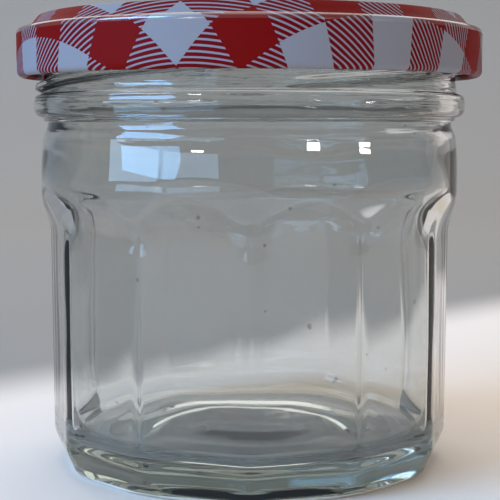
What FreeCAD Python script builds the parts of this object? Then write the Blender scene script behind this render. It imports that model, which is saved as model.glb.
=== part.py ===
"""Faceted jam jar with a four-lug twist-off lid, as a parametric model.

Millimetres, +Z up, origin at the centre of the ring that the jar stands on. The jar's facets meet in an
edge at -Y. The lid is closed: its liner rests on the glass rim and its lugs sit under the glass threads.
"""
import FreeCAD, Part
import Sketcher
import math
import os
import re

# Driving sizes. Radii are from the axis and heights from the ground, unless a comment says otherwise.
SIZES = {
    # Glass: the finish, which is what the lid screws on to, and the bead and groove below it.
    "finish_radius": 32.75,
    "rim": 68.95,              # height of the sealing rim
    "rim_round": 0.9,
    "finish_depth": 11.05,     # from the rim down to the bead
    "bead_width": 2.9,
    "bead_proud": 1.25,        # beyond the finish
    "bead_bevel": 0.7,
    "groove_width": 2.5,
    "groove_depth": 0.5,       # below the round body
    "edge_round": 0.4,
    # Glass: the round shoulder and the faceted body.
    "body_step": 0.2,          # from the finish out to the round body
    "shoulder_rise": 0.6,
    "band": 14.3,              # from the shoulder down to where the facets start to lean outwards
    "facets": 12,
    "facet_depth": 2.0,        # from the round body in to the middle of a facet, at its top
    "facet_draft": 0.2,        # how much nearer to the axis a facet is at its foot
    "facet_lean": 21.3,        # degrees that a facet's top leans outwards
    # Glass: heel, stand ring and push-up.
    "heel_height": 4.5,
    "heel_inset": 1.85,        # how far the heel slopes in below a facet
    "stand_reach": 0.6,        # how far the foot of the round blank reaches past the facets
    "stand_width": 4.9,
    "stand_round": 1.8,
    "pushup_rise": 2.4,
    "pushup_slope": 9.6,       # width of the slope between the stand ring and the raised middle
    "pushup_round": 8.0,
    # Glass: inside.
    "finish_wall": 2.35,
    "neck_wall": 2.55,         # glass behind the groove, where the inside is narrowest
    "belly_wall": 1.6,         # glass behind the round body
    "facet_wall": 1.55,        # glass behind the middle of a facet
    "bore_depth": 11.95,       # of the straight mouth, down from the rim
    "belly_drop": 6.4,         # from the shoulder down to where the inside is widest
    "belly_round": 6.0,
    "floor": 5.2,
    "floor_rise": 0.9,
    "floor_round": 3.5,
    # Glass: threads.
    "starts": 4,
    "thread_proud": 1.25,
    "thread_clear": 0.25,      # from the bead up to the lowest part of a thread
    "thread_width": 1.7,
    "thread_bevel": 0.35,
    "thread_root": 0.5,        # how far a thread's section reaches into the wall
    "thread_lead": 15.5,       # rise for one full turn
    "thread_span": 96.0,       # degrees that one thread runs
    "thread_angle": 10.5,      # degrees from +X to a thread's start
    # Lid, of pressed and lacquered tinplate.
    "sheet": 0.25,
    "skirt_play": 2.25,        # from the threads out to the skirt
    "curl_radius": 0.9,
    "ledge_drop": 2.0,         # from the crown down to the ledge above the skirt
    "ledge_width": 1.6,
    "shoulder_width": 1.8,
    "crown_width": 3.5,
    "panel_drop": 0.7,
    "skirt_round": 0.7,
    "crown_round": 0.6,
    "lug_play": 0.7,           # from the finish out to a lug's tip
    "lug_width": 16.0,         # degrees
    "lug_thickness": 0.6,
    "lug_gap": 0.1,            # from a lug up to the thread above it
    "lug_lift": 0.09,          # from the lid's lower edge up to a lug
    # Liner, a ring of sealing compound.
    "liner_thickness": 1.0,
    "liner_play": 0.05,        # from its edges to the round corners of the lid's crown
}

# Sizes that follow from them.
DERIVED = {
    "body_radius": "finish_radius + body_step",
    "groove_radius": "body_radius - groove_depth",
    "bead_radius": "finish_radius + bead_proud",
    "bead_high": "rim - finish_depth",
    "bead_low": "bead_high - bead_width",
    "shoulder": "bead_low - groove_width - shoulder_rise",
    "facet_high": "body_radius - facet_depth",
    "facet_low": "facet_high - facet_draft",
    "facet_foot": "facet_low - heel_inset",
    "facet_crease": "shoulder - band",
    "stand_outer": "facet_foot + stand_reach",
    "stand_inner": "stand_outer - stand_width",
    "pushup_flat": "stand_inner - pushup_slope",
    "bore_radius": "finish_radius - finish_wall",
    "bore_low": "rim - bore_depth",
    "inner_radius": "facet_high - facet_wall",
    "neck": "shoulder + shoulder_rise",
    "neck_radius": "groove_radius - neck_wall",
    "belly_high": "shoulder - belly_drop",
    "belly_low": "facet_crease + facet_depth / tan(facet_lean * 1 deg)",
    "belly_radius": "body_radius - belly_wall",
    "thread_radius": "finish_radius + thread_proud",
    "thread_low": "bead_high + thread_clear",
    "lid_top": "rim + liner_thickness + sheet",
    "lid_radius": "thread_radius + skirt_play + sheet",
    "ledge": "lid_top - ledge_drop",
    "ledge_radius": "lid_radius - ledge_width",
    "crown_radius": "ledge_radius - shoulder_width",
    "panel_radius": "crown_radius - crown_width",
    "panel": "lid_top - panel_drop",
    "crown_slope": "ledge_drop / shoulder_width",
    "inner_shift": "sheet * (sqrt(1 + crown_slope ^ 2) - 1) / crown_slope",
    "lug_tip": "finish_radius + lug_play",
    "lug_seat": "lid_radius - 2 * curl_radius + sheet / 2",
    "lug_high": "thread_low + thread_lead * (thread_span - lug_width) / 360 - lug_gap",
    "lug_low": "lug_high - lug_thickness",
    "lid_low": "lug_low - lug_lift",
}

SNAP = 1e-4  # an edge this near to a spot is taken to be at it

doc = FreeCAD.newDocument("JamJar")
sheet = doc.addObject("Spreadsheet::Sheet", "Sizes")
for row, (alias, number) in enumerate(SIZES.items(), start=1):
    sheet.set(f"A{row}", alias)
    sheet.set(f"B{row}", str(number))
    sheet.setAlias(f"B{row}", alias)
doc.recompute()


def cell(text):
    """An expression over the sheet, from a text that names driving and derived sizes by their words."""
    def expand(match):
        word = match[0]
        if word in DERIVED:
            return f"({cell(DERIVED[word])})"
        return f"Sizes.{word}" if word in SIZES else word

    return re.sub(r"[a-z_]+", expand, text)


def number(text):
    """The present value of such a text."""
    value = sheet.evalExpression(cell(text))
    return float(getattr(value, "Value", value))


def plane_sketch(body, name, turn=None):
    """A sketch on the body's XZ plane, its x along the radius and its y up, turned about Z if asked."""
    sketch = body.newObject("Sketcher::SketchObject", name)
    plane = next(f for f in body.Origin.OriginFeatures if f.Role == "XZ_Plane")
    sketch.AttachmentSupport = [(plane, "")]
    sketch.MapMode = "FlatFace"
    if turn:
        axis = FreeCAD.Vector(0, 1, 0)
        sketch.AttachmentOffset = FreeCAD.Placement(FreeCAD.Vector(), FreeCAD.Rotation(axis, number(turn)))
        sketch.setExpression("AttachmentOffset.Rotation.Angle", cell(turn))
    return sketch


def bind(sketch, kind, name, place, text):
    """Adds a named constraint of the given kind and ties its value to the sheet."""
    index = sketch.addConstraint(Sketcher.Constraint(kind, *place, number(text)))
    sketch.renameConstraint(index, name)
    sketch.setExpression(f"Constraints.{name}", cell(text))


def outline(sketch, corners):
    """A closed outline of straight lines through corners, each a pair of size texts (across, up)."""
    spots = [FreeCAD.Vector(number(across), number(up), 0) for across, up in corners]
    lines = [Part.LineSegment(a, b) for a, b in zip(spots, spots[1:] + spots[:1])]
    sketch.addGeometry(lines, False)
    for i in range(len(lines)):
        sketch.addConstraint(Sketcher.Constraint("Coincident", (i or len(lines)) - 1, 2, i, 1))
    for i, (across, up) in enumerate(corners):
        for text, kind, axis, name in ((across, "DistanceX", -2, "across"), (up, "DistanceY", -1, "up")):
            if text == "0":
                sketch.addConstraint(Sketcher.Constraint("PointOnObject", i, 1, axis))
            else:
                bind(sketch, kind, f"{name}{i}", (-1, 1, i, 1), text)


def revolve(body, name, sketch, degrees=None):
    """Turns a sketch about Z: a whole turn, or half of degrees to each side of its plane."""
    solid = body.newObject("PartDesign::Revolution", name)
    solid.Profile = sketch
    solid.ReferenceAxis = (sketch, ["V_Axis"])
    if degrees:
        solid.Midplane = True
        solid.setExpression("Angle", cell(degrees))
    else:
        solid.Angle = 360
    doc.recompute()
    return solid


def circles(feature, spots):
    """The names of the circular edges about Z at each spot, a pair of size texts (radius, height)."""
    wanted = [(number(radius), number(height)) for radius, height in spots]
    names = []
    for i, edge in enumerate(feature.Shape.Edges, start=1):
        if not isinstance(edge.Curve, Part.Circle):
            continue
        at = (edge.Curve.Radius, edge.Curve.Center.z)
        if any(abs(at[0] - radius) < SNAP and abs(at[1] - height) < SNAP for radius, height in wanted):
            names.append(f"Edge{i}")
    if len(names) < len(wanted):
        raise ValueError(f"{feature.Label}: {len(names)} edges found for {len(wanted)} spots")
    return names


def round_off(body, name, base, radius, spots):
    """Fillets the circular edges of base at spots."""
    fillet = body.newObject("PartDesign::Fillet", name)
    fillet.Base = (base, circles(base, spots))
    fillet.setExpression("Radius", cell(radius))
    doc.recompute()
    return fillet


def pattern(body, name, feature, count):
    """Repeats a feature round Z."""
    repeat = body.newObject("PartDesign::PolarPattern", name)
    repeat.Originals = [feature]
    repeat.Axis = (next(f for f in body.Origin.OriginFeatures if f.Role == "Z_Axis"), [""])
    repeat.Angle = 360
    repeat.setExpression("Occurrences", cell(count))
    body.Tip = repeat
    doc.recompute()
    return repeat


def new_body(label):
    body = doc.addObject("PartDesign::Body", label)
    body.Label = label
    body.Placement = FreeCAD.Placement()
    return body


def jar_blank(body):
    """The round blank of the jar with its inside, before the facets and threads."""
    # The heel is a cone that leaves the stand ring and meets the corners of the facets at the heel's height.
    heel_width = "(facet_low / cos(180 deg / facets) - stand_outer)"
    sketch = plane_sketch(body, "JarProfile")
    outline(sketch, [
        ("0", "pushup_rise"),
        ("pushup_flat", "pushup_rise"),
        ("stand_inner", "0"),
        ("stand_outer", "0"),
        ("body_radius", f"heel_height * (body_radius - stand_outer) / {heel_width}"),
        ("body_radius", "shoulder"),
        ("groove_radius", "neck"),
        ("groove_radius", "bead_low"),
        ("bead_radius", "bead_low + bead_bevel"),
        ("bead_radius", "bead_high - bead_bevel"),
        ("finish_radius", "bead_high"),
        ("finish_radius", "rim"),
        ("bore_radius", "rim"),
        ("bore_radius", "bore_low"),
        ("neck_radius", "neck"),
        ("belly_radius", "belly_high"),
        ("belly_radius", "belly_low"),
        ("inner_radius", "facet_crease"),
        ("inner_radius", "floor"),
        ("0", "floor + floor_rise"),
    ])
    blank = revolve(body, "Blank", sketch)
    blank = round_off(body, "RimRound", blank, "rim_round",
                      [("finish_radius", "rim"), ("bore_radius", "rim")])
    # The inside runs parallel to the leaning tops of the facets, and narrows again behind the groove.
    blank = round_off(body, "BellyRound", blank, "belly_round", [
        ("neck_radius", "neck"),
        ("belly_radius", "belly_high"),
        ("belly_radius", "belly_low"),
        ("inner_radius", "facet_crease"),
    ])
    blank = round_off(body, "FloorRound", blank, "floor_round", [("inner_radius", "floor")])
    blank = round_off(body, "PushupRound", blank, "pushup_round", [("pushup_flat", "pushup_rise")])
    blank = round_off(body, "StandRound", blank, "stand_round",
                      [("stand_inner", "0"), ("stand_outer", "0")])
    return round_off(body, "BeadRound", blank, "edge_round", [
        ("groove_radius", "bead_low"),
        ("bead_radius", "bead_low + bead_bevel"),
        ("bead_radius", "bead_high - bead_bevel"),
        ("finish_radius", "bead_high"),
    ])


def jar_facets(body):
    """Twelve flats with a sloping heel and a leaning top. Each lean runs out of the round body as an arch."""
    # The cut runs out to the bead's radius, which is outside the round body, and on below the ground.
    lean_top = "facet_crease + (bead_radius - facet_high) / tan(facet_lean * 1 deg)"
    outside = "2 * bead_radius"
    below = "0 - floor"
    sketch = plane_sketch(body, "FacetProfile", "180 / facets")
    outline(sketch, [
        ("facet_foot", below),
        ("facet_foot", "0"),
        ("facet_low", "heel_height"),
        ("facet_high", "facet_crease"),
        ("bead_radius", lean_top),
        (outside, lean_top),
        (outside, below),
    ])
    facet = body.newObject("PartDesign::Pocket", "Facet")
    facet.Profile = sketch
    facet.Type = "ThroughAll"
    facet.SideType = "Symmetric"
    doc.recompute()
    return pattern(body, "Facets", facet, "facets")


def jar_threads(body):
    """Four ridges that climb to the right round the finish, each starting under the end of the last."""
    root = "finish_radius - thread_root"
    sketch = plane_sketch(body, "ThreadProfile", "thread_angle")
    outline(sketch, [
        (root, "thread_low"),
        ("finish_radius", "thread_low"),
        ("thread_radius", "thread_low + thread_bevel"),
        ("thread_radius", "thread_low + thread_width - thread_bevel"),
        ("finish_radius", "thread_low + thread_width"),
        (root, "thread_low + thread_width"),
    ])
    thread = body.newObject("PartDesign::AdditiveHelix", "Thread")
    thread.Profile = sketch
    thread.ReferenceAxis = (sketch, ["V_Axis"])
    thread.Mode = "pitch-height-angle"
    thread.setExpression("Pitch", cell("thread_lead * 1 mm"))
    thread.setExpression("Height", cell("thread_lead * thread_span / 360 * 1 mm"))
    doc.recompute()
    return pattern(body, "Threads", thread, "starts")


def make_jar():
    body = new_body("jar")
    jar_blank(body)
    jar_facets(body)
    jar_threads(body)


def lid_shell(body):
    """The pressed shell of the lid: skirt, ledge, sloping shoulder, crown ring and sunk panel."""
    sketch = plane_sketch(body, "LidProfile")
    # The inner side is the outer one moved in by one sheet. On a slope the corner moves along it.
    outline(sketch, [
        ("0", "panel"),
        ("panel_radius", "panel"),
        ("panel_radius", "lid_top"),
        ("crown_radius", "lid_top"),
        ("ledge_radius", "ledge"),
        ("lid_radius", "ledge"),
        ("lid_radius", "lid_low + curl_radius"),
        ("lid_radius - sheet", "lid_low + curl_radius"),
        ("lid_radius - sheet", "ledge - sheet"),
        ("ledge_radius - inner_shift", "ledge - sheet"),
        ("crown_radius - inner_shift", "lid_top - sheet"),
        ("panel_radius + sheet", "lid_top - sheet"),
        ("panel_radius + sheet", "panel - sheet"),
        ("0", "panel - sheet"),
    ])
    shell = revolve(body, "Shell", sketch)
    shell = round_off(body, "SkirtRound", shell, "skirt_round", [("lid_radius", "ledge")])
    shell = round_off(body, "SkirtRoundInside", shell, "skirt_round - sheet",
                      [("lid_radius - sheet", "ledge - sheet")])
    shell = round_off(body, "CrownRound", shell, "crown_round",
                      [("crown_radius", "lid_top"), ("panel_radius", "lid_top")])
    shell = round_off(body, "CrownRoundInside", shell, "crown_round - sheet", [
        ("crown_radius - inner_shift", "lid_top - sheet"),
        ("panel_radius + sheet", "lid_top - sheet"),
    ])
    return shell


def lid_curl(body):
    """The skirt's lower edge, rolled inwards for three quarters of a turn."""
    sketch = plane_sketch(body, "CurlProfile")
    middle = FreeCAD.Vector(number("lid_radius - curl_radius"), number("lid_low + curl_radius"), 0)
    radii = ("curl_radius", "curl_radius - sheet")
    quarter = math.pi / 2
    for i, radius in enumerate(radii):
        circle = Part.Circle(middle, FreeCAD.Vector(0, 0, 1), number(radius))
        sketch.addGeometry(Part.ArcOfCircle(circle, quarter, 4 * quarter), False)
        bind(sketch, "Radius", f"radius{i}", (i,), radius)
    outer, inner = sketch.Geometry
    sketch.addGeometry(Part.LineSegment(outer.StartPoint, inner.StartPoint), False)
    sketch.addGeometry(Part.LineSegment(outer.EndPoint, inner.EndPoint), False)
    for place in ((0, 3, 1, 3), (0, 1, 2, 1), (1, 1, 2, 2), (0, 2, 3, 1), (1, 2, 3, 2)):
        sketch.addConstraint(Sketcher.Constraint("Coincident", *place))
    sketch.addConstraint(Sketcher.Constraint("PointOnObject", 0, 3, 2))
    sketch.addConstraint(Sketcher.Constraint("PointOnObject", 0, 3, 3))
    sketch.addConstraint(Sketcher.Constraint("Vertical", 2))
    sketch.addConstraint(Sketcher.Constraint("Horizontal", 3))
    bind(sketch, "DistanceX", "across", (-1, 1, 0, 3), "lid_radius - curl_radius")
    bind(sketch, "DistanceY", "up", (-1, 1, 0, 3), "lid_low + curl_radius")
    return revolve(body, "Curl", sketch)


def lid_lugs(body):
    """Tabs pressed inwards from the curl, each just under the high end of a glass thread."""
    sketch = plane_sketch(body, "LugProfile", "thread_angle + thread_span - lug_width / 2")
    outline(sketch, [
        ("lug_tip", "lug_low"),
        ("lug_seat", "lug_low"),
        ("lug_seat", "lug_high"),
        ("lug_tip", "lug_high"),
    ])
    lug = revolve(body, "Lug", sketch, "lug_width")
    return pattern(body, "Lugs", lug, "starts")


def make_lid():
    body = new_body("lid")
    lid_shell(body)
    lid_curl(body)
    lid_lugs(body)


def make_liner():
    """The ring of sealing compound between the glass rim and the lid."""
    body = new_body("liner")
    sketch = plane_sketch(body, "LinerProfile")
    inner = "panel_radius + crown_round + liner_play"
    outer = "crown_radius - crown_round - liner_play"
    outline(sketch, [(inner, "rim"), (outer, "rim"), (outer, "lid_top - sheet"), (inner, "lid_top - sheet")])
    revolve(body, "Ring", sketch)


make_jar()
make_lid()
make_liner()
for item in doc.Objects:
    if {"Invalid", "Error"} & set(item.State):
        raise ValueError(f"{item.Label} failed: {item.State}")
os.makedirs("parts", exist_ok=True)
for label in ("jar", "lid", "liner"):
    node = doc.getObjectsByLabel(label)[0]
    if node.Shape.isNull() or not node.Shape.isValid():
        raise ValueError(f"{label} has no valid shape")
    node.Shape.exportStep(f"parts/{label}.step")
    print(label, len(node.Shape.Solids), round(node.Shape.Volume, 1), node.Shape.BoundBox)
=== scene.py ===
"""An empty faceted jam jar with a red and white checked twist-off lid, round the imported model.

The jar and the lid are worked out in millimetres, and turned into metres where their meshes and
materials are made. Radii are from the jar's axis and heights from the ground. The front is at -Y.
"""
import bmesh
import bpy
import math
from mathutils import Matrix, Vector


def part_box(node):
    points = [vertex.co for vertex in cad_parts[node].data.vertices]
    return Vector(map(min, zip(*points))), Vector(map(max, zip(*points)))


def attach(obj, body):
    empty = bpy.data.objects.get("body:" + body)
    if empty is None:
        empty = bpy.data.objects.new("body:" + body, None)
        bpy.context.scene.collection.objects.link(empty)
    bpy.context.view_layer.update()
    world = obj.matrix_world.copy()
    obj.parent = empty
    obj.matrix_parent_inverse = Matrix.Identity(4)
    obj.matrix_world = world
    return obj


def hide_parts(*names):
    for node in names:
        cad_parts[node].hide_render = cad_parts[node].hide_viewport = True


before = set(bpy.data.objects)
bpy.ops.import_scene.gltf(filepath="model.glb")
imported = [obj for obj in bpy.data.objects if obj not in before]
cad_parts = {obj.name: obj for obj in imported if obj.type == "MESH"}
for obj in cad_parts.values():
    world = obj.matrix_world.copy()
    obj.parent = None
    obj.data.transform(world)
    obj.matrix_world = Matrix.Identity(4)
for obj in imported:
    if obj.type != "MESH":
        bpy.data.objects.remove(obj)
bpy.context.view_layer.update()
MM = 0.001
TURN = 2 * math.pi
QUARTER = math.pi / 2

# The foot of the jar.
CONTACT_RADIUS = 28.45  # outer edge of the ring that touches the ground
CONTACT_FLAT = ((26.4, 0.0), (27.6, 0.0))  # the flat of that ring
STAND_ROUND = 1.8
STAND_SOFT = 0.15
STAND_STEPS = 9
STAND_INNER = (25.2, 1.0)  # centre of the ring's inner rounding
STAND_INNER_ROUND = 1.0
PUSH_UP = (
    (2.0, 2.4), (6.0, 2.4), (10.0, 2.4), (13.5, 2.3), (15.5, 2.05),
    (17.5, 1.55), (19.5, 0.95), (21.5, 0.5), (23.8, 0.28),
)

# The twelve facets, from the heel up to the shoulder that they die into.
FACETS = 12
HALF_FACET = math.pi / FACETS
HEEL_HEIGHT = 4.3
HEEL_SOFT = 0.35
STAND_OUTER = 29.5  # where the round heel's slope meets the ground
FACET_FOOT = 28.9  # where a facet's own slope meets the ground
FACET_LOW = 30.75
FACET_HIGH = 30.95
FACET_CREASE = 37.6
FACET_LEAN = math.tan(math.radians(21.3))
CREASE_SOFT = 0.5
EDGE_SOFT = 0.55
ARCH_SOFT = 0.22
FACET_RELIEF = 0.36  # how far the facets stand outside their inscribed circle, on average

# The round band, the groove, the bead and the finish above them.
BODY_RADIUS = 32.95
ROUND_FROM = 50.0  # no facet reaches higher
LEAN_FROM = 45.0
LEAN_TO = 54.0
LEAN_FLATNESS = 130.0
GROOVE_RADIUS = 32.45
GROOVE_RISE = (51.4, 53.4)
BEAD_RADIUS = 34.0
BEAD_HEIGHT = 56.4
BEAD_HALF = 1.85
BEAD_BLUNT = 2.4  # 2 would be an ellipse
FINISH_RADIUS = 32.75
FINISH_RISE = (57.2, 58.0)
WAIST = 0.45  # how much the finish narrows
WAIST_IN = (57.4, 62.2)
WAIST_OUT = (62.4, 65.0)
RIM = (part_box("jar")[1] / MM).z
RIM_ROUND = 0.9

# The glass threads. Angles are in degrees.
THREADS = 4
THREAD_START = 10.5
THREAD_SPAN = 96.0
THREAD_LEAD = 15.5
THREAD_RISE = THREAD_LEAD / 360
THREAD_LOW = 58.15
THREAD_WIDTH = 1.7
THREAD_PROUD = 1.25
THREAD_BEVEL = (0.45, 1.05)  # shares of half the thread's width
THREAD_RUN_IN = 3.0
THREAD_RUN_OUT = 8

# The jar's inside.
INNER_RADIUS = 29.6
BELLY_RADIUS = 31.35
NECK_RADIUS = 30.2
BORE_RADIUS = 30.4
INNER_CHANGES = (  # from a height, to a height, and the change of radius between them
    (36.6, 43.8, BELLY_RADIUS - INNER_RADIUS),
    (44.0, 54.0, NECK_RADIUS - BELLY_RADIUS),
    (53.0, 58.0, BORE_RADIUS - NECK_RADIUS),
)
INNER_TOP = RIM - 1.4
FOLLOW = 0.6  # share of the facets' relief that shows on the inside
FOLLOW_END = (34, 42)
FLOOR = 5.2
FLOOR_ROUND = 3.5
FLOOR_CORNER = FLOOR + FLOOR_ROUND
INNER_FOOT = FLOOR_CORNER + 0.4
FLOOR_RADIUS = 25.6
FLOOR_RISE = 0.9
FLOOR_STEPS = 10
CORNER_STEPS = 12

# Moulded glass is slowly uneven: share, waves round the jar, slant with height, and phase.
RIPPLES = ((0.45, 3, 0.11, 0.7), (0.30, 5, -0.23, 2.1), (0.25, 8, 0.31, 4.4))
OUTER_RIPPLE = 0.060
OUTER_RIPPLE_TURN = 0.4  # so that the outside isn't uneven in step with the inside
OUTER_RIPPLE_SLANT = 2.2
OUTER_RIPPLE_IN = (38, 43)
OUTER_RIPPLE_OUT = (50.5, 52)
INNER_RIPPLE = 0.12
FLOOR_RIPPLE = 0.12
FLOOR_RIPPLE_WAVES = 6
FLOOR_RIPPLE_PHASE = 1.0

# How finely the glass is divided.
FACET_STEPS = 20
EDGE_CROWDING = 0.6
OUTER_ROWS = (  # from a height, to a height, and the step between rows
    (1.95, 6.4, 0.22),
    (6.4, 36.4, 1.5),
    (36.4, 44.2, 0.17),
    (44.2, 51.2, 0.5),
    (51.2, 58.2, 0.13),
    (58.2, RIM - RIM_ROUND, 0.14),
)
INNER_ROW = 0.8

# The lid.
LID_LOW, LID_HIGH = (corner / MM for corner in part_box("lid"))
LID_RADIUS = LID_HIGH.x
LID_TOP = LID_HIGH.z
LEDGE = LID_TOP - 2.0
SHEET = 0.25
CURL = 0.9
CURL_STEPS = 26
CURL_PRINTED = 16  # of those steps
CURL_INNER_STEPS = 18
PANEL_DEPTH = 0.7
PANEL_ROWS = (1.0, 15.0, 25.0)
PANEL_EDGE = 28.9
PANEL_CORNER = 29.0  # a corner is the centre of its rounding
PANEL_ROUND = 0.35
CROWN_CORNER = 30.2
CROWN_ROUND = 0.5
CROWN_FLAT = (31.4, 32.4)
SLOPE_TOP = 32.82
SLOPE_TOP_ROUND = 0.6
SLOPE_MIDDLE = 33.95
SLOPE_MIDDLE_DROP = 1.05
SLOPE_FOOT = 35.05
SLOPE_FOOT_ROUND = 0.4
SLOPE_SHARES = (0.4, 0.5, 0.45)  # of the inset, for how far its top, middle and foot move in
SKIRT_ROUND = 0.7
SKIRT_DROPS = (1.2, 1.8, 2.6, 3.4, 4.2, 5.0, 5.6)  # rows of the skirt, below the ledge
LID_STEPS = 288

# The lid's print, laid out on the flat sheet before it is pressed.
CHECK = 7.22
CHECK_ANGLE = 31.7
ROW_SHIFT = 0.440
COLUMN_SHIFT = 0.280
HATCH_SPACING = 0.72
HATCH_SHARE = 0.36  # of the spacing that is white
WHITE = (0.27, 0.26, 0.29, 1)
PINKISH_WHITE = (0.27, 0.24, 0.28, 1)
RED = (0.185, 0.002, 0.002, 1)
DARK_RED = (0.15, 0.001, 0.004, 1)

# What the glass's surface lets through, zone by zone, and what its depth does. The darker heel is
# painted shade, and the paler floor is painted light.
CLEAR = ((0.78, 0.795, 0.785, 1), (0.83, 0.845, 0.835, 1))
# Painted shade: the heel's glass is darker than the wall's, up to the given heights.
HEEL_SHADE = (0.72, 0.72, 0.65, 1)
HEEL_SHADE_END = (4.2 * MM, 5.4 * MM)
# Painted light: the floor's glass lets more through than the wall's, so the floor shows paler, and less
# within the middle radius, so the push-up shows darker.
FLOOR_PAINTED_LIGHT = (0.98, 0.97, 0.94, 1)
FLOOR_LIGHT_RADIUS = 28.3 * MM
FLOOR_LIGHT_HEIGHT = 6.6 * MM
MIDDLE_PAINTED_LIGHT = (0.90, 0.91, 0.90, 1)
MIDDLE_LIGHT_RADIUS = 17.5 * MM
# Painted light: the stippled stand ring's cream tint stands in for warm light in the floor's corner.
STIPPLE_AND_PAINTED_LIGHT = (0.97, 0.92, 0.84, 1)
STIPPLE_RADIUS = 22.0 * MM
STIPPLE_HEIGHT = 0.55 * MM
SEED_TINT = (0.30, 0.31, 0.29, 1)
SEED_SCALE = 650.0
SEED_LIMIT = 0.135  # noise under it is a seed
STREAK_SCALE = (60.0, 60.0, 900.0)
STREAK_DEPTH = 0.75  # for each 1 of the waves
STREAKS_FROM = (51.0 * MM, 52.5 * MM)
DEEP_TINT = (0.52, 0.60, 0.57, 1)
DEEP_DENSITY = 28.0
GLASS_IOR = 1.52
WAVE_RELIEF = 0.12 * MM

# The printed sheet's gloss, which is highest along the fold from the ledge to the skirt.
FOLD_HEIGHT = (LEDGE - 0.35) * MM
FOLD_HALF = 0.5 * MM
PRINT_IOR = 1.16
PRINT_ROUGHNESS = 0.50
PRINT_WEAR = 0.12
PRINT_RELIEF = 0.02 * MM


def smooth_min(a, b, width):
    """The lesser of a and b, with the corner between them rounded over width."""
    h = max(0.0, min(1.0, 0.5 + 0.5 * (b - a) / width))
    return b + (a - b) * h - width * h * (1 - h)


def smooth_max(a, b, width):
    """The greater of a and b, with the corner between them rounded over width."""
    return -smooth_min(-a, -b, width)


def ease(low, high, x):
    """0 below low, 1 above high, and a smooth rise between."""
    t = max(0.0, min(1.0, (x - low) / (high - low)))
    return t * t * (3 - 2 * t)


def ripple(angle, height, size):
    """A slow unevenness of moulded glass, between -size and size."""
    return size * sum(
        share * math.sin(waves * angle + slant * height + phase)
        for share, waves, slant, phase in RIPPLES
    )


def floor_ripple(angle):
    """How far the edge of the inner floor is up or down at an angle."""
    return FLOOR_RIPPLE * math.sin(FLOOR_RIPPLE_WAVES * angle + FLOOR_RIPPLE_PHASE)


def thread_proud(angle, height):
    """How far the glass threads stand out of the finish."""
    degrees = math.degrees(angle) - THREAD_START
    best = 0.0
    for start in range(THREADS):
        along = (degrees - 360 / THREADS * start) % 360
        if along > THREAD_SPAN:
            continue
        middle = THREAD_LOW + THREAD_WIDTH / 2 + THREAD_RISE * along
        across = abs(height - middle) / (THREAD_WIDTH / 2)
        run_out = 1 - ease(THREAD_SPAN - THREAD_RUN_OUT, THREAD_SPAN, along)
        ends = ease(0, THREAD_RUN_IN, along) * run_out
        best = max(best, THREAD_PROUD * (1 - ease(*THREAD_BEVEL, across)) * ends)
    return best


def round_radius(height):
    """The outside radius where the jar is round."""
    heel_top = FACET_LOW / math.cos(HALF_FACET)
    heel = STAND_OUTER + height * (heel_top - STAND_OUTER) / HEEL_HEIGHT
    radius = min(BODY_RADIUS, heel)
    # The band leans in more and more towards the groove, and that ends in a step under the bead.
    if LEAN_FROM < height < LEAN_TO:
        radius -= (height - LEAN_FROM) ** 2 / LEAN_FLATNESS
    radius -= (BODY_RADIUS - GROOVE_RADIUS) * ease(*GROOVE_RISE, height)
    across = abs(height - BEAD_HEIGHT) / BEAD_HALF
    if across < 1:
        radius += (BEAD_RADIUS - GROOVE_RADIUS) * (1 - across**BEAD_BLUNT) ** 0.5
    radius += (FINISH_RADIUS - GROOVE_RADIUS) * ease(*FINISH_RISE, height)
    return radius - WAIST * ease(*WAIST_IN, height) * (1 - ease(*WAIST_OUT, height))


def facet_distance(height):
    """How far a facet's plane is from the axis at this height."""
    flare = FACET_HIGH - FACET_LOW
    upright = FACET_LOW + flare * (height - HEEL_HEIGHT) / (FACET_CREASE - HEEL_HEIGHT)
    heel = FACET_FOOT + (FACET_LOW - FACET_FOOT) * height / HEEL_HEIGHT
    leaning = FACET_HIGH + (height - FACET_CREASE) * FACET_LEAN
    return smooth_max(smooth_min(upright, heel, HEEL_SOFT), leaning, CREASE_SOFT)


def from_middle(angle):
    """The angle from the middle of the facet that this angle falls on."""
    return angle % (2 * HALF_FACET) - HALF_FACET


def outer_radius(angle, height):
    """The outside of the jar at an angle from +X and a height."""
    uneven = ripple(angle + OUTER_RIPPLE_TURN, OUTER_RIPPLE_SLANT * height, OUTER_RIPPLE)
    wavy = uneven * ease(*OUTER_RIPPLE_IN, height) * (1 - ease(*OUTER_RIPPLE_OUT, height))
    if height > ROUND_FROM:
        return round_radius(height) + thread_proud(angle, height) + wavy
    turned = from_middle(angle)
    distance = facet_distance(height)
    near = distance / math.cos(turned)
    neighbour = distance / math.cos(2 * HALF_FACET - abs(turned))
    flats = smooth_min(near, neighbour, EDGE_SOFT)
    return smooth_min(flats, round_radius(height), ARCH_SOFT) + wavy


def inner_radius(angle, height):
    """The inside of the jar above its floor's rounding. It follows the facets a little."""
    flats = FACET_HIGH / math.cos(from_middle(angle)) - (FACET_HIGH + FACET_RELIEF)
    radius = INNER_RADIUS + FOLLOW * flats * (1 - ease(*FOLLOW_END, height))
    for low, high, change in INNER_CHANGES:
        radius += change * ease(low, high, height)
    return radius + ripple(angle, height, INNER_RIPPLE)


def arc(centre, radius, start, end, steps):
    """Points (radius, height) on an arc, with angles in degrees from outwards towards up."""
    points = []
    for i in range(steps + 1):
        a = math.radians(start + (end - start) * i / steps)
        points.append((centre[0] + radius * math.cos(a), centre[1] + radius * math.sin(a)))
    return points


def spread(low, high, step):
    """Even values from low to high, high itself left out."""
    count = max(1, round((high - low) / step))
    return [low + (high - low) * i / count for i in range(count)]


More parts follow.
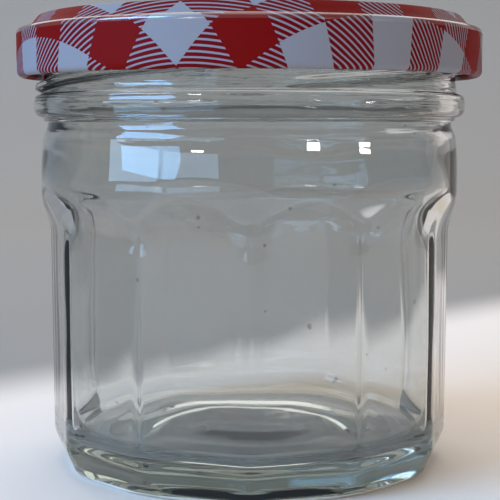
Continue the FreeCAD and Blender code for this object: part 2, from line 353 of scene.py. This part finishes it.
def facet_angles(steps):
    """Angles round the axis, closer together near the edges between the facets."""
    angles = []
    for facet in range(FACETS):
        for i in range(steps):
            t = i / steps
            crowding = EDGE_CROWDING * math.sin(TURN * t) / TURN
            angles.append(2 * HALF_FACET * (facet + t - crowding))
    return angles


def link(name, data):
    """A new object of this name in the scene."""
    new = bpy.data.objects.new(name, data)
    bpy.context.scene.collection.objects.link(new)
    return new


def lathe(name, rows, angles):
    """A closed mesh from rows of (radius, height) per angle. Its first and last rows close to points."""
    count = len(angles)
    points = []
    faces = []
    for row in rows:
        for angle, (radius, height) in zip(angles, row):
            x = radius * math.cos(angle) * MM
            y = radius * math.sin(angle) * MM
            points.append((x, y, height * MM))
    for i in range(len(rows) - 1):
        low = i * count
        high = low + count
        for j in range(count):
            k = (j + 1) % count
            faces.append((low + j, low + k, high + k, high + j))
    for row, ring in ((0, range(count - 1, -1, -1)), (len(rows) - 1, range(count))):
        height = sum(spot[1] for spot in rows[row]) / count
        points.append((0.0, 0.0, height * MM))
        middle = len(points) - 1
        ring = [row * count + j for j in ring]
        for j in range(count):
            faces.append((ring[j], ring[(j + 1) % count], middle))
    mesh = bpy.data.meshes.new(name)
    mesh.from_pydata(points, [], faces)
    shape = bmesh.new()
    shape.from_mesh(mesh)
    bmesh.ops.recalc_face_normals(shape, faces=shape.faces)
    shape.to_mesh(mesh)
    shape.free()
    mesh.polygons.foreach_set("use_smooth", [True] * len(mesh.polygons))
    piece = link(name, mesh)
    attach(piece, "root")
    return piece


def even(points, angles):
    """Rows that are the same all round."""
    return [[point] * len(angles) for point in points]


def underside_rows(angles):
    """From the middle of the push-up to the ring that the jar stands on."""
    rows = even(PUSH_UP, angles)
    rows += even(arc(STAND_INNER, STAND_INNER_ROUND, 235, 270, 4), angles)
    rows += even(CONTACT_FLAT, angles)
    return rows


def outer_rows(angles):
    """The outside, from the ground to the rim's rounding."""
    heights = [STAND_ROUND * (1 - math.cos(QUARTER * i / STAND_STEPS)) for i in range(STAND_STEPS + 1)]
    for low, high, step in OUTER_ROWS:
        heights += spread(low, high, step)
    rows = []
    for height in heights:
        row = []
        for angle in angles:
            radius = outer_radius(angle, height)
            if height < STAND_ROUND:
                beyond = math.sqrt(STAND_ROUND**2 - (STAND_ROUND - height) ** 2)
                radius = smooth_min(radius, CONTACT_RADIUS + beyond, STAND_SOFT)
            row.append((radius, height))
        rows.append(row)
    return rows


def rim_rows(angles):
    """Over the rim, from the outside to the inside."""
    middle = RIM - RIM_ROUND
    rows = even(arc((FINISH_RADIUS - RIM_ROUND, middle), RIM_ROUND, 0, 90, 7), angles)
    rows += even(arc((BORE_RADIUS + RIM_ROUND, middle), RIM_ROUND, 90, 180, 7), angles)
    return rows


def inner_rows(angles):
    """The inside, from under the rim down the wall and over the floor to its middle."""
    rows = []
    for height in reversed(spread(INNER_FOOT, INNER_TOP, INNER_ROW)):
        rows.append([(inner_radius(angle, height), height) for angle in angles])
    for step in range(CORNER_STEPS + 1):
        a = QUARTER * step / CORNER_STEPS
        row = []
        for angle in angles:
            radius = inner_radius(angle, FLOOR_CORNER) - FLOOR_ROUND * (1 - math.cos(a))
            height = FLOOR_CORNER - FLOOR_ROUND * math.sin(a) + floor_ripple(angle) * math.sin(a)
            row.append((radius, height))
        rows.append(row)
    for step in range(1, FLOOR_STEPS):
        t = step / FLOOR_STEPS
        row = []
        for angle in angles:
            height = FLOOR + FLOOR_RISE * ease(0, 1, t) + floor_ripple(angle) * (1 - t) ** 2
            row.append((FLOOR_RADIUS * (1 - t), height))
        rows.append(row)
    return rows


def make_glass():
    """The whole jar in one closed mesh."""
    angles = facet_angles(FACET_STEPS)
    rows = underside_rows(angles)
    rows += outer_rows(angles)
    rows += rim_rows(angles)
    rows += inner_rows(angles)
    glass = lathe("jar_glass", rows, angles)
    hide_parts("jar")
    return glass


def shell_side(inset):
    """The lid's profile from the middle of its panel to the top of its curl, moved in by inset."""
    panel = LID_TOP - PANEL_DEPTH - inset
    top = LID_TOP - inset
    at_top, at_middle, at_foot = (share * inset for share in SLOPE_SHARES)
    outline = [(radius, panel) for radius in (*PANEL_ROWS, PANEL_EDGE + inset)]
    # Up from the sunk panel to the flat of the crown.
    outline += arc((PANEL_CORNER + inset, panel + PANEL_ROUND), PANEL_ROUND, 270, 330, 4)
    outline += arc((CROWN_CORNER + inset, top - CROWN_ROUND), CROWN_ROUND, 150, 90, 5)
    outline += [(CROWN_FLAT[0], top), (CROWN_FLAT[1] - at_top, top)]
    # Down the slope to the ledge.
    outline += arc((SLOPE_TOP - at_top, top - SLOPE_TOP_ROUND), SLOPE_TOP_ROUND, 90, 48, 5)
    outline += [(SLOPE_MIDDLE - at_middle, top - SLOPE_MIDDLE_DROP)]
    foot = (SLOPE_FOOT - at_foot, LEDGE + SLOPE_FOOT_ROUND - inset)
    outline += arc(foot, SLOPE_FOOT_ROUND, 228, 270, 4)
    # Over the edge and down the skirt.
    edge = (LID_RADIUS - SKIRT_ROUND, LEDGE - SKIRT_ROUND)
    outline += arc(edge, SKIRT_ROUND - inset, 90, 0, 7)
    outline += [(LID_RADIUS - inset, LEDGE - drop) for drop in SKIRT_DROPS]
    return outline


def make_lid():
    """The pressed sheet, printed outside and part of the way round its rolled edge."""
    angles = [TURN * i / LID_STEPS for i in range(LID_STEPS)]
    middle = (LID_RADIUS - CURL, LID_LOW.z + CURL)
    profile = shell_side(0.0)
    last_printed = len(profile) + CURL_PRINTED
    profile += arc(middle, CURL, 0, -270, CURL_STEPS)
    profile += arc(middle, CURL - SHEET, -270, 0, CURL_INNER_STEPS)
    profile += reversed(shell_side(SHEET))
    lid = lathe("lid_printed", even(profile, angles), angles)
    for face in lid.data.polygons:
        row = min(face.vertices) // LID_STEPS
        face.material_index = int(row > last_printed)
    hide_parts("lid")
    return lid


def lay_flat(lid):
    """Stores where each point of the lid was on its flat sheet, in millimetres, as blank."""
    mesh = lid.data
    layer = mesh.attributes.new("blank", "FLOAT_VECTOR", "POINT")
    profile = shell_side(0.0)
    # A pressed sheet keeps its area: a ring of the flat sheet becomes a ring of the profile.
    flats = [profile[0][0]]
    squared = profile[0][0] ** 2
    for (radius, height), (wider, lower) in zip(profile, profile[1:]):
        squared += (radius + wider) * math.hypot(wider - radius, lower - height)
        flats.append(math.sqrt(squared))
    values = []
    for index, vertex in enumerate(mesh.vertices):
        x, y, z = vertex.co / MM
        row = index // LID_STEPS
        flat = flats[row] if row < len(flats) else flats[-1] + profile[-1][1] - z
        scale = flat / max(math.hypot(x, y), 1e-6)
        values += (x * scale, y * scale, 0.0)
    layer.data.foreach_set("vector", values)


def node_tree(name):
    """An empty material of this name, with its tree and its surface shader."""
    material = bpy.data.materials.new(name)
    material.use_nodes = True
    tree = material.node_tree
    return material, tree, tree.nodes["Principled BSDF"]


def connect(tree, value, socket):
    """Sets a socket to a number or a colour, or links another socket to it."""
    if isinstance(value, (int, float, tuple)):
        socket.default_value = value
    else:
        tree.links.new(value, socket)


def object_place(tree):
    """A point's place on its object, in metres."""
    return tree.nodes.new("ShaderNodeTexCoord").outputs["Object"]


def split(tree, vector):
    """The x, y and z of a vector."""
    node = tree.nodes.new("ShaderNodeSeparateXYZ")
    tree.links.new(vector, node.inputs[0])
    return node.outputs


def math_node(tree, operation, first, second=0.0, third=0.0):
    """A Math node over values or sockets. Returns its result."""
    node = tree.nodes.new("ShaderNodeMath")
    node.operation = operation
    for socket, value in zip(node.inputs, (first, second, third)):
        connect(tree, value, socket)
    return node.outputs[0]


def less(tree, value, limit):
    """1 where value is under limit, otherwise 0."""
    return math_node(tree, "LESS_THAN", value, limit)


def scaled(tree, vector, factors):
    """A vector with its x, y and z each times a factor."""
    node = tree.nodes.new("ShaderNodeVectorMath")
    node.operation = "MULTIPLY"
    node.inputs[1].default_value = factors
    tree.links.new(vector, node.inputs[0])
    return node.outputs[0]


def axis_distance(tree, place):
    """How far a point is from the jar's axis."""
    node = tree.nodes.new("ShaderNodeVectorMath")
    node.operation = "LENGTH"
    tree.links.new(scaled(tree, place, (1.0, 1.0, 0.0)), node.inputs[0])
    return node.outputs["Value"]


def rise(tree, value, low, high, top=1.0, interpolation="LINEAR"):
    """0 where value is under low, top where it is over high, and a rise between."""
    node = tree.nodes.new("ShaderNodeMapRange")
    node.interpolation_type = interpolation
    node.inputs["From Min"].default_value = low
    node.inputs["From Max"].default_value = high
    node.inputs["To Max"].default_value = top
    tree.links.new(value, node.inputs["Value"])
    return node.outputs[0]


def noise(tree, vector, scale, detail=2.0):
    """Cloudy noise between 0 and 1."""
    node = tree.nodes.new("ShaderNodeTexNoise")
    node.inputs["Scale"].default_value = scale
    node.inputs["Detail"].default_value = detail
    tree.links.new(vector, node.inputs["Vector"])
    return node.outputs["Fac"]


def mix_colour(tree, factor, first, second):
    """The first colour where factor is 0, the second where it is 1."""
    node = tree.nodes.new("ShaderNodeMix")
    node.data_type = "RGBA"
    for name, value in (("Factor", factor), ("A", first), ("B", second)):
        connect(tree, value, next(s for s in node.inputs if s.name == name and s.enabled))
    return next(s for s in node.outputs if s.enabled)


def bump(tree, height, distance, shader):
    """Relief in the shader's normal, distance in metres."""
    node = tree.nodes.new("ShaderNodeBump")
    node.inputs["Distance"].default_value = distance
    tree.links.new(height, node.inputs["Height"])
    tree.links.new(node.outputs["Normal"], shader.inputs["Normal"])


def glass_colour(tree, height, from_axis, clear):
    """The tint of the glass, zone by zone: painted shade in the heel, and painted light over the floor.
    Clear is the wall's own tint.
    """
    # Painted shade: the heel is darker than the wall.
    above_heel = rise(tree, height, *HEEL_SHADE_END)
    shade = mix_colour(tree, above_heel, HEEL_SHADE, clear)
    # Painted light over the floor, with less of it in the middle.
    inside_wall = less(tree, from_axis, FLOOR_LIGHT_RADIUS)
    floor = math_node(tree, "MULTIPLY", inside_wall, less(tree, height, FLOOR_LIGHT_HEIGHT))
    middle = less(tree, from_axis, MIDDLE_LIGHT_RADIUS)
    return mix_colour(tree, floor, shade, mix_colour(tree, middle, FLOOR_PAINTED_LIGHT, MIDDLE_PAINTED_LIGHT))


def with_seeds(tree, place, shade):
    """A tint with small dark seeds in it."""
    seeds = less(tree, noise(tree, place, SEED_SCALE, 0.0), SEED_LIMIT)
    return mix_colour(tree, seeds, shade, SEED_TINT)


def glass_relief(tree, place, height):
    """Slow waves all over, and flat streaks on the finish and its groove."""
    waves = noise(tree, place, 90.0, 1.0)
    streaks = noise(tree, scaled(tree, place, STREAK_SCALE), 1.0, 2.0)
    finish = rise(tree, height, *STREAKS_FROM, top=STREAK_DEPTH)
    return math_node(tree, "MULTIPLY_ADD", streaks, finish, waves)


def glass_material():
    """Clear glass, a little green in its depth."""
    material, tree, shader = node_tree("clear_glass")
    place = object_place(tree)
    height = split(tree, place)[2]
    from_axis = axis_distance(tree, place)
    smears = noise(tree, place, 60.0, 4.0)
    shade = glass_colour(tree, height, from_axis, mix_colour(tree, smears, *CLEAR))
    # The stand ring is stippled, so it scatters light. Its cream tint is painted warm light, and shows
    # as a pale line in the floor's corner.
    low = less(tree, height, STIPPLE_HEIGHT)
    ring = math_node(tree, "MULTIPLY", low, less(tree, STIPPLE_RADIUS, from_axis))
    shade = with_seeds(tree, place, mix_colour(tree, ring, shade, STIPPLE_AND_PAINTED_LIGHT))
    tree.links.new(shade, shader.inputs["Base Color"])
    stipple = math_node(tree, "MULTIPLY_ADD", noise(tree, place, 900.0, 2.0), 0.6, 0.4)
    dull = math_node(tree, "MULTIPLY", ring, stipple)
    tree.links.new(math_node(tree, "SUBTRACT", 1.0, dull), shader.inputs["Transmission Weight"])
    haze = math_node(tree, "MULTIPLY_ADD", smears, 0.04, -0.01)
    tree.links.new(math_node(tree, "MULTIPLY_ADD", ring, 0.4, haze), shader.inputs["Roughness"])
    shader.inputs["IOR"].default_value = GLASS_IOR
    bump(tree, glass_relief(tree, place, height), WAVE_RELIEF, shader)
    absorb = tree.nodes.new("ShaderNodeVolumeAbsorption")
    absorb.inputs["Color"].default_value = DEEP_TINT
    absorb.inputs["Density"].default_value = DEEP_DENSITY
    tree.links.new(absorb.outputs[0], tree.nodes["Material Output"].inputs["Volume"])
    return material


def gingham(tree):
    """White where a row and a column cross, hatched where only one of them runs, and else red."""
    blank = tree.nodes.new("ShaderNodeAttribute")
    blank.attribute_name = "blank"
    parts = split(tree, blank.outputs["Vector"])
    x, y = parts[0], parts[1]

    def along(degrees):
        """Distance on the sheet along a direction, in degrees to the right of the front."""
        a = math.radians(degrees)
        forward = math_node(tree, "MULTIPLY", y, -math.cos(a))
        return math_node(tree, "MULTIPLY_ADD", x, math.sin(a), forward)

    def band(distance, shift):
        """1 in every second check along a distance."""
        cells = math_node(tree, "MULTIPLY_ADD", distance, 0.5 / CHECK, shift)
        return less(tree, math_node(tree, "FRACT", cells), 0.5)

    rows = band(along(CHECK_ANGLE), ROW_SHIFT)
    columns = band(along(CHECK_ANGLE - 90), COLUMN_SHIFT)
    either = math_node(tree, "MAXIMUM", rows, columns)
    spaced = math_node(tree, "MULTIPLY", along(CHECK_ANGLE - 45), 1 / HATCH_SPACING)
    thin = less(tree, math_node(tree, "FRACT", spaced), HATCH_SHARE)
    hatch = mix_colour(tree, thin, DARK_RED, PINKISH_WHITE)
    crossed = math_node(tree, "MULTIPLY", rows, columns)
    return mix_colour(tree, crossed, mix_colour(tree, either, RED, hatch), WHITE)


def lid_material():
    """Printed tinplate, dull with a little wear, and glossy along the fold over its edge."""
    material, tree, shader = node_tree("printed_tinplate")
    place = object_place(tree)
    tree.links.new(gingham(tree), shader.inputs["Base Color"])
    wear = noise(tree, place, 900.0, 3.0)
    rough = math_node(tree, "MULTIPLY_ADD", wear, PRINT_WEAR, PRINT_ROUGHNESS)
    tree.links.new(rough, shader.inputs["Roughness"])
    shader.inputs["IOR"].default_value = PRINT_IOR
    from_fold = math_node(tree, "SUBTRACT", split(tree, place)[2], FOLD_HEIGHT)
    near_fold = less(tree, math_node(tree, "ABSOLUTE", from_fold), FOLD_HALF)
    tree.links.new(near_fold, shader.inputs["Coat Weight"])
    shader.inputs["Coat Roughness"].default_value = 0.12
    shader.inputs["Coat IOR"].default_value = 2.0
    bump(tree, noise(tree, place, 250.0, 2.0), PRINT_RELIEF, shader)
    return material


def cloudy_material(name, scale, dark, pale, least_rough, relief=None):
    """A dull material of two near colours, and rougher where it is paler."""
    material, tree, shader = node_tree(name)
    cloud = noise(tree, object_place(tree), scale, 3.0)
    tree.links.new(mix_colour(tree, cloud, dark, pale), shader.inputs["Base Color"])
    rough = math_node(tree, "MULTIPLY_ADD", cloud, 0.2, least_rough)
    tree.links.new(rough, shader.inputs["Roughness"])
    if relief:
        bump(tree, cloud, relief, shader)
    return material


def lacquer_material():
    """The pale lacquer inside the lid."""
    return cloudy_material(
        "inside_lacquer", 120.0, (0.78, 0.77, 0.73, 1), (0.84, 0.83, 0.79, 1), 0.3
    )


def liner_material():
    """The ring of sealing compound between the lid and the rim."""
    return cloudy_material(
        "sealing_compound", 1500.0, (0.50, 0.49, 0.46, 1), (0.60, 0.58, 0.54, 1), 0.5, 0.03 * MM
    )


# The stage, the lamps and the camera are in metres.
STAGE_FRONT = -1.0
STAGE_REACH = 0.9
STAGE_TURN = 0.35  # radius of the curve up into the backdrop
STAGE_TURN_STEPS = 24
STAGE_HEIGHT = 1.4
STAGE_HALF = 1.6
STAGE_GAP = 0.00004  # under the jar
NEAR_TONES = ((0.88, 0.77, 0.69, 1), (0.92, 0.81, 0.73, 1))
BACK_TONES = ((0.295, 0.272, 0.25, 1), (0.327, 0.302, 0.278, 1))


def stage_material():
    """Pale near the jar, and a cooler grey from a slanting edge not far behind it."""
    material, tree, shader = node_tree("pale_floor")
    place = object_place(tree)
    parts = split(tree, place)
    aslant = math_node(tree, "SUBTRACT", parts[1], parts[0])
    far = rise(tree, aslant, 0.080, 0.135, interpolation="SMOOTHSTEP")
    cloud = noise(tree, place, 3.0, 2.0)
    near = mix_colour(tree, cloud, *NEAR_TONES)
    back = mix_colour(tree, cloud, *BACK_TONES)
    tree.links.new(mix_colour(tree, far, near, back), shader.inputs["Base Color"])
    shader.inputs["Roughness"].default_value = 0.9
    return material


def make_stage():
    """A table top that curves up into a backdrop."""
    line = [(STAGE_FRONT, 0.0), (STAGE_REACH - STAGE_TURN, 0.0)]
    for i in range(1, STAGE_TURN_STEPS + 1):
        a = QUARTER * i / STAGE_TURN_STEPS
        behind = STAGE_REACH - STAGE_TURN + STAGE_TURN * math.sin(a)
        line.append((behind, STAGE_TURN * (1 - math.cos(a))))
    line.append((STAGE_REACH, STAGE_HEIGHT))
    points = [(side * STAGE_HALF, y, z - STAGE_GAP) for y, z in line for side in (-1, 1)]
    faces = [(2 * i, 2 * i + 1, 2 * i + 3, 2 * i + 2) for i in range(len(line) - 1)]
    mesh = bpy.data.meshes.new("floor")
    mesh.from_pydata(points, [], faces)
    mesh.polygons.foreach_set("use_smooth", [True] * len(faces))
    mesh.materials.append(stage_material())
    floor = link("floor", mesh)


WINDOW_BLUE = (0.40, 0.68, 1.0)
SKY_BLUE = (0.25, 0.55, 1.0)
WARM = (1.0, 0.95, 0.88)
SPOT_WHITE = (1.0, 0.98, 0.92)


def lamp(name, size, place, aim, power, colour):
    """A rectangular lamp at a place, turned towards its aim."""
    data = bpy.data.lights.new(name, "AREA")
    data.shape = "RECTANGLE"
    data.size, data.size_y = size
    data.energy = power
    data.color = colour
    light = link(name, data)
    light.location = place
    light.rotation_euler = (Vector(aim) - Vector(place)).to_track_quat("-Z", "Y").to_euler()


def around(azimuth, distance, height):
    """A place at an azimuth in degrees to the right of the front."""
    a = math.radians(azimuth)
    return (distance * math.sin(a), -distance * math.cos(a), height)


def make_lights():
    """A dim room, a window and the sky at the left, warm lamps above and behind, and three spots."""
    world = bpy.data.worlds.new("studio")
    bpy.context.scene.world = world
    world.use_nodes = True
    background = world.node_tree.nodes["Background"]
    background.inputs["Color"].default_value = (0.97, 0.98, 0.95, 1)
    background.inputs["Strength"].default_value = 0.26
    for pane, azimuth, power in ((0, -64, 3.9), (1, -31, 2.4)):
        place = around(azimuth, 1.5, 0.13)
        lamp(f"window{pane}", (0.82, 0.25), place, (0, 0, 0.13), power, WINDOW_BLUE)
    lamp("sky", (0.8, 0.5), around(-60, 1.15, 0.68), (0, 0, 0.05), 17.0, SKY_BLUE)
    lamp("top", (2.0, 1.5), (-0.1, 0.25, 1.3), (0.0, 0.2, 0.0), 10.0, WARM)
    lamp("back", (1.6, 0.6), (0.0, 0.76, 0.64), (0, 0, 0), 5.2, WARM)
    for azimuth, height in ((-27, 0.23), (34, 0.19), (62, 0.18)):
        place = around(azimuth, 1.2, height)
        lamp(f"spot{azimuth}", (0.13, 0.02), place, (0, 0, 0.05), 0.45, SPOT_WHITE)


def make_camera():
    """Eye level is just below the bead, and the camera is close: 209 mm from the jar's axis."""
    data = bpy.data.cameras.new("camera")
    data.lens = 93.6
    data.sensor_width = 36.0
    data.clip_start = 0.01
    camera = link("camera", data)
    camera.location = (0.0001, -0.2088, 0.0527)
    looks_down = 5.274
    camera.rotation_euler = (math.radians(90 - looks_down), 0.0, 0.0)
    bpy.context.scene.camera = camera


glass = make_glass()
glass.data.materials.append(glass_material())
lid = make_lid()
lay_flat(lid)
lid.data.materials.append(lid_material())
lid.data.materials.append(lacquer_material())
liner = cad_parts["liner"]
liner.data.materials.clear()
liner.data.materials.append(liner_material())
make_stage()
make_lights()
make_camera()
bpy.context.scene.view_settings.view_transform = "Standard"
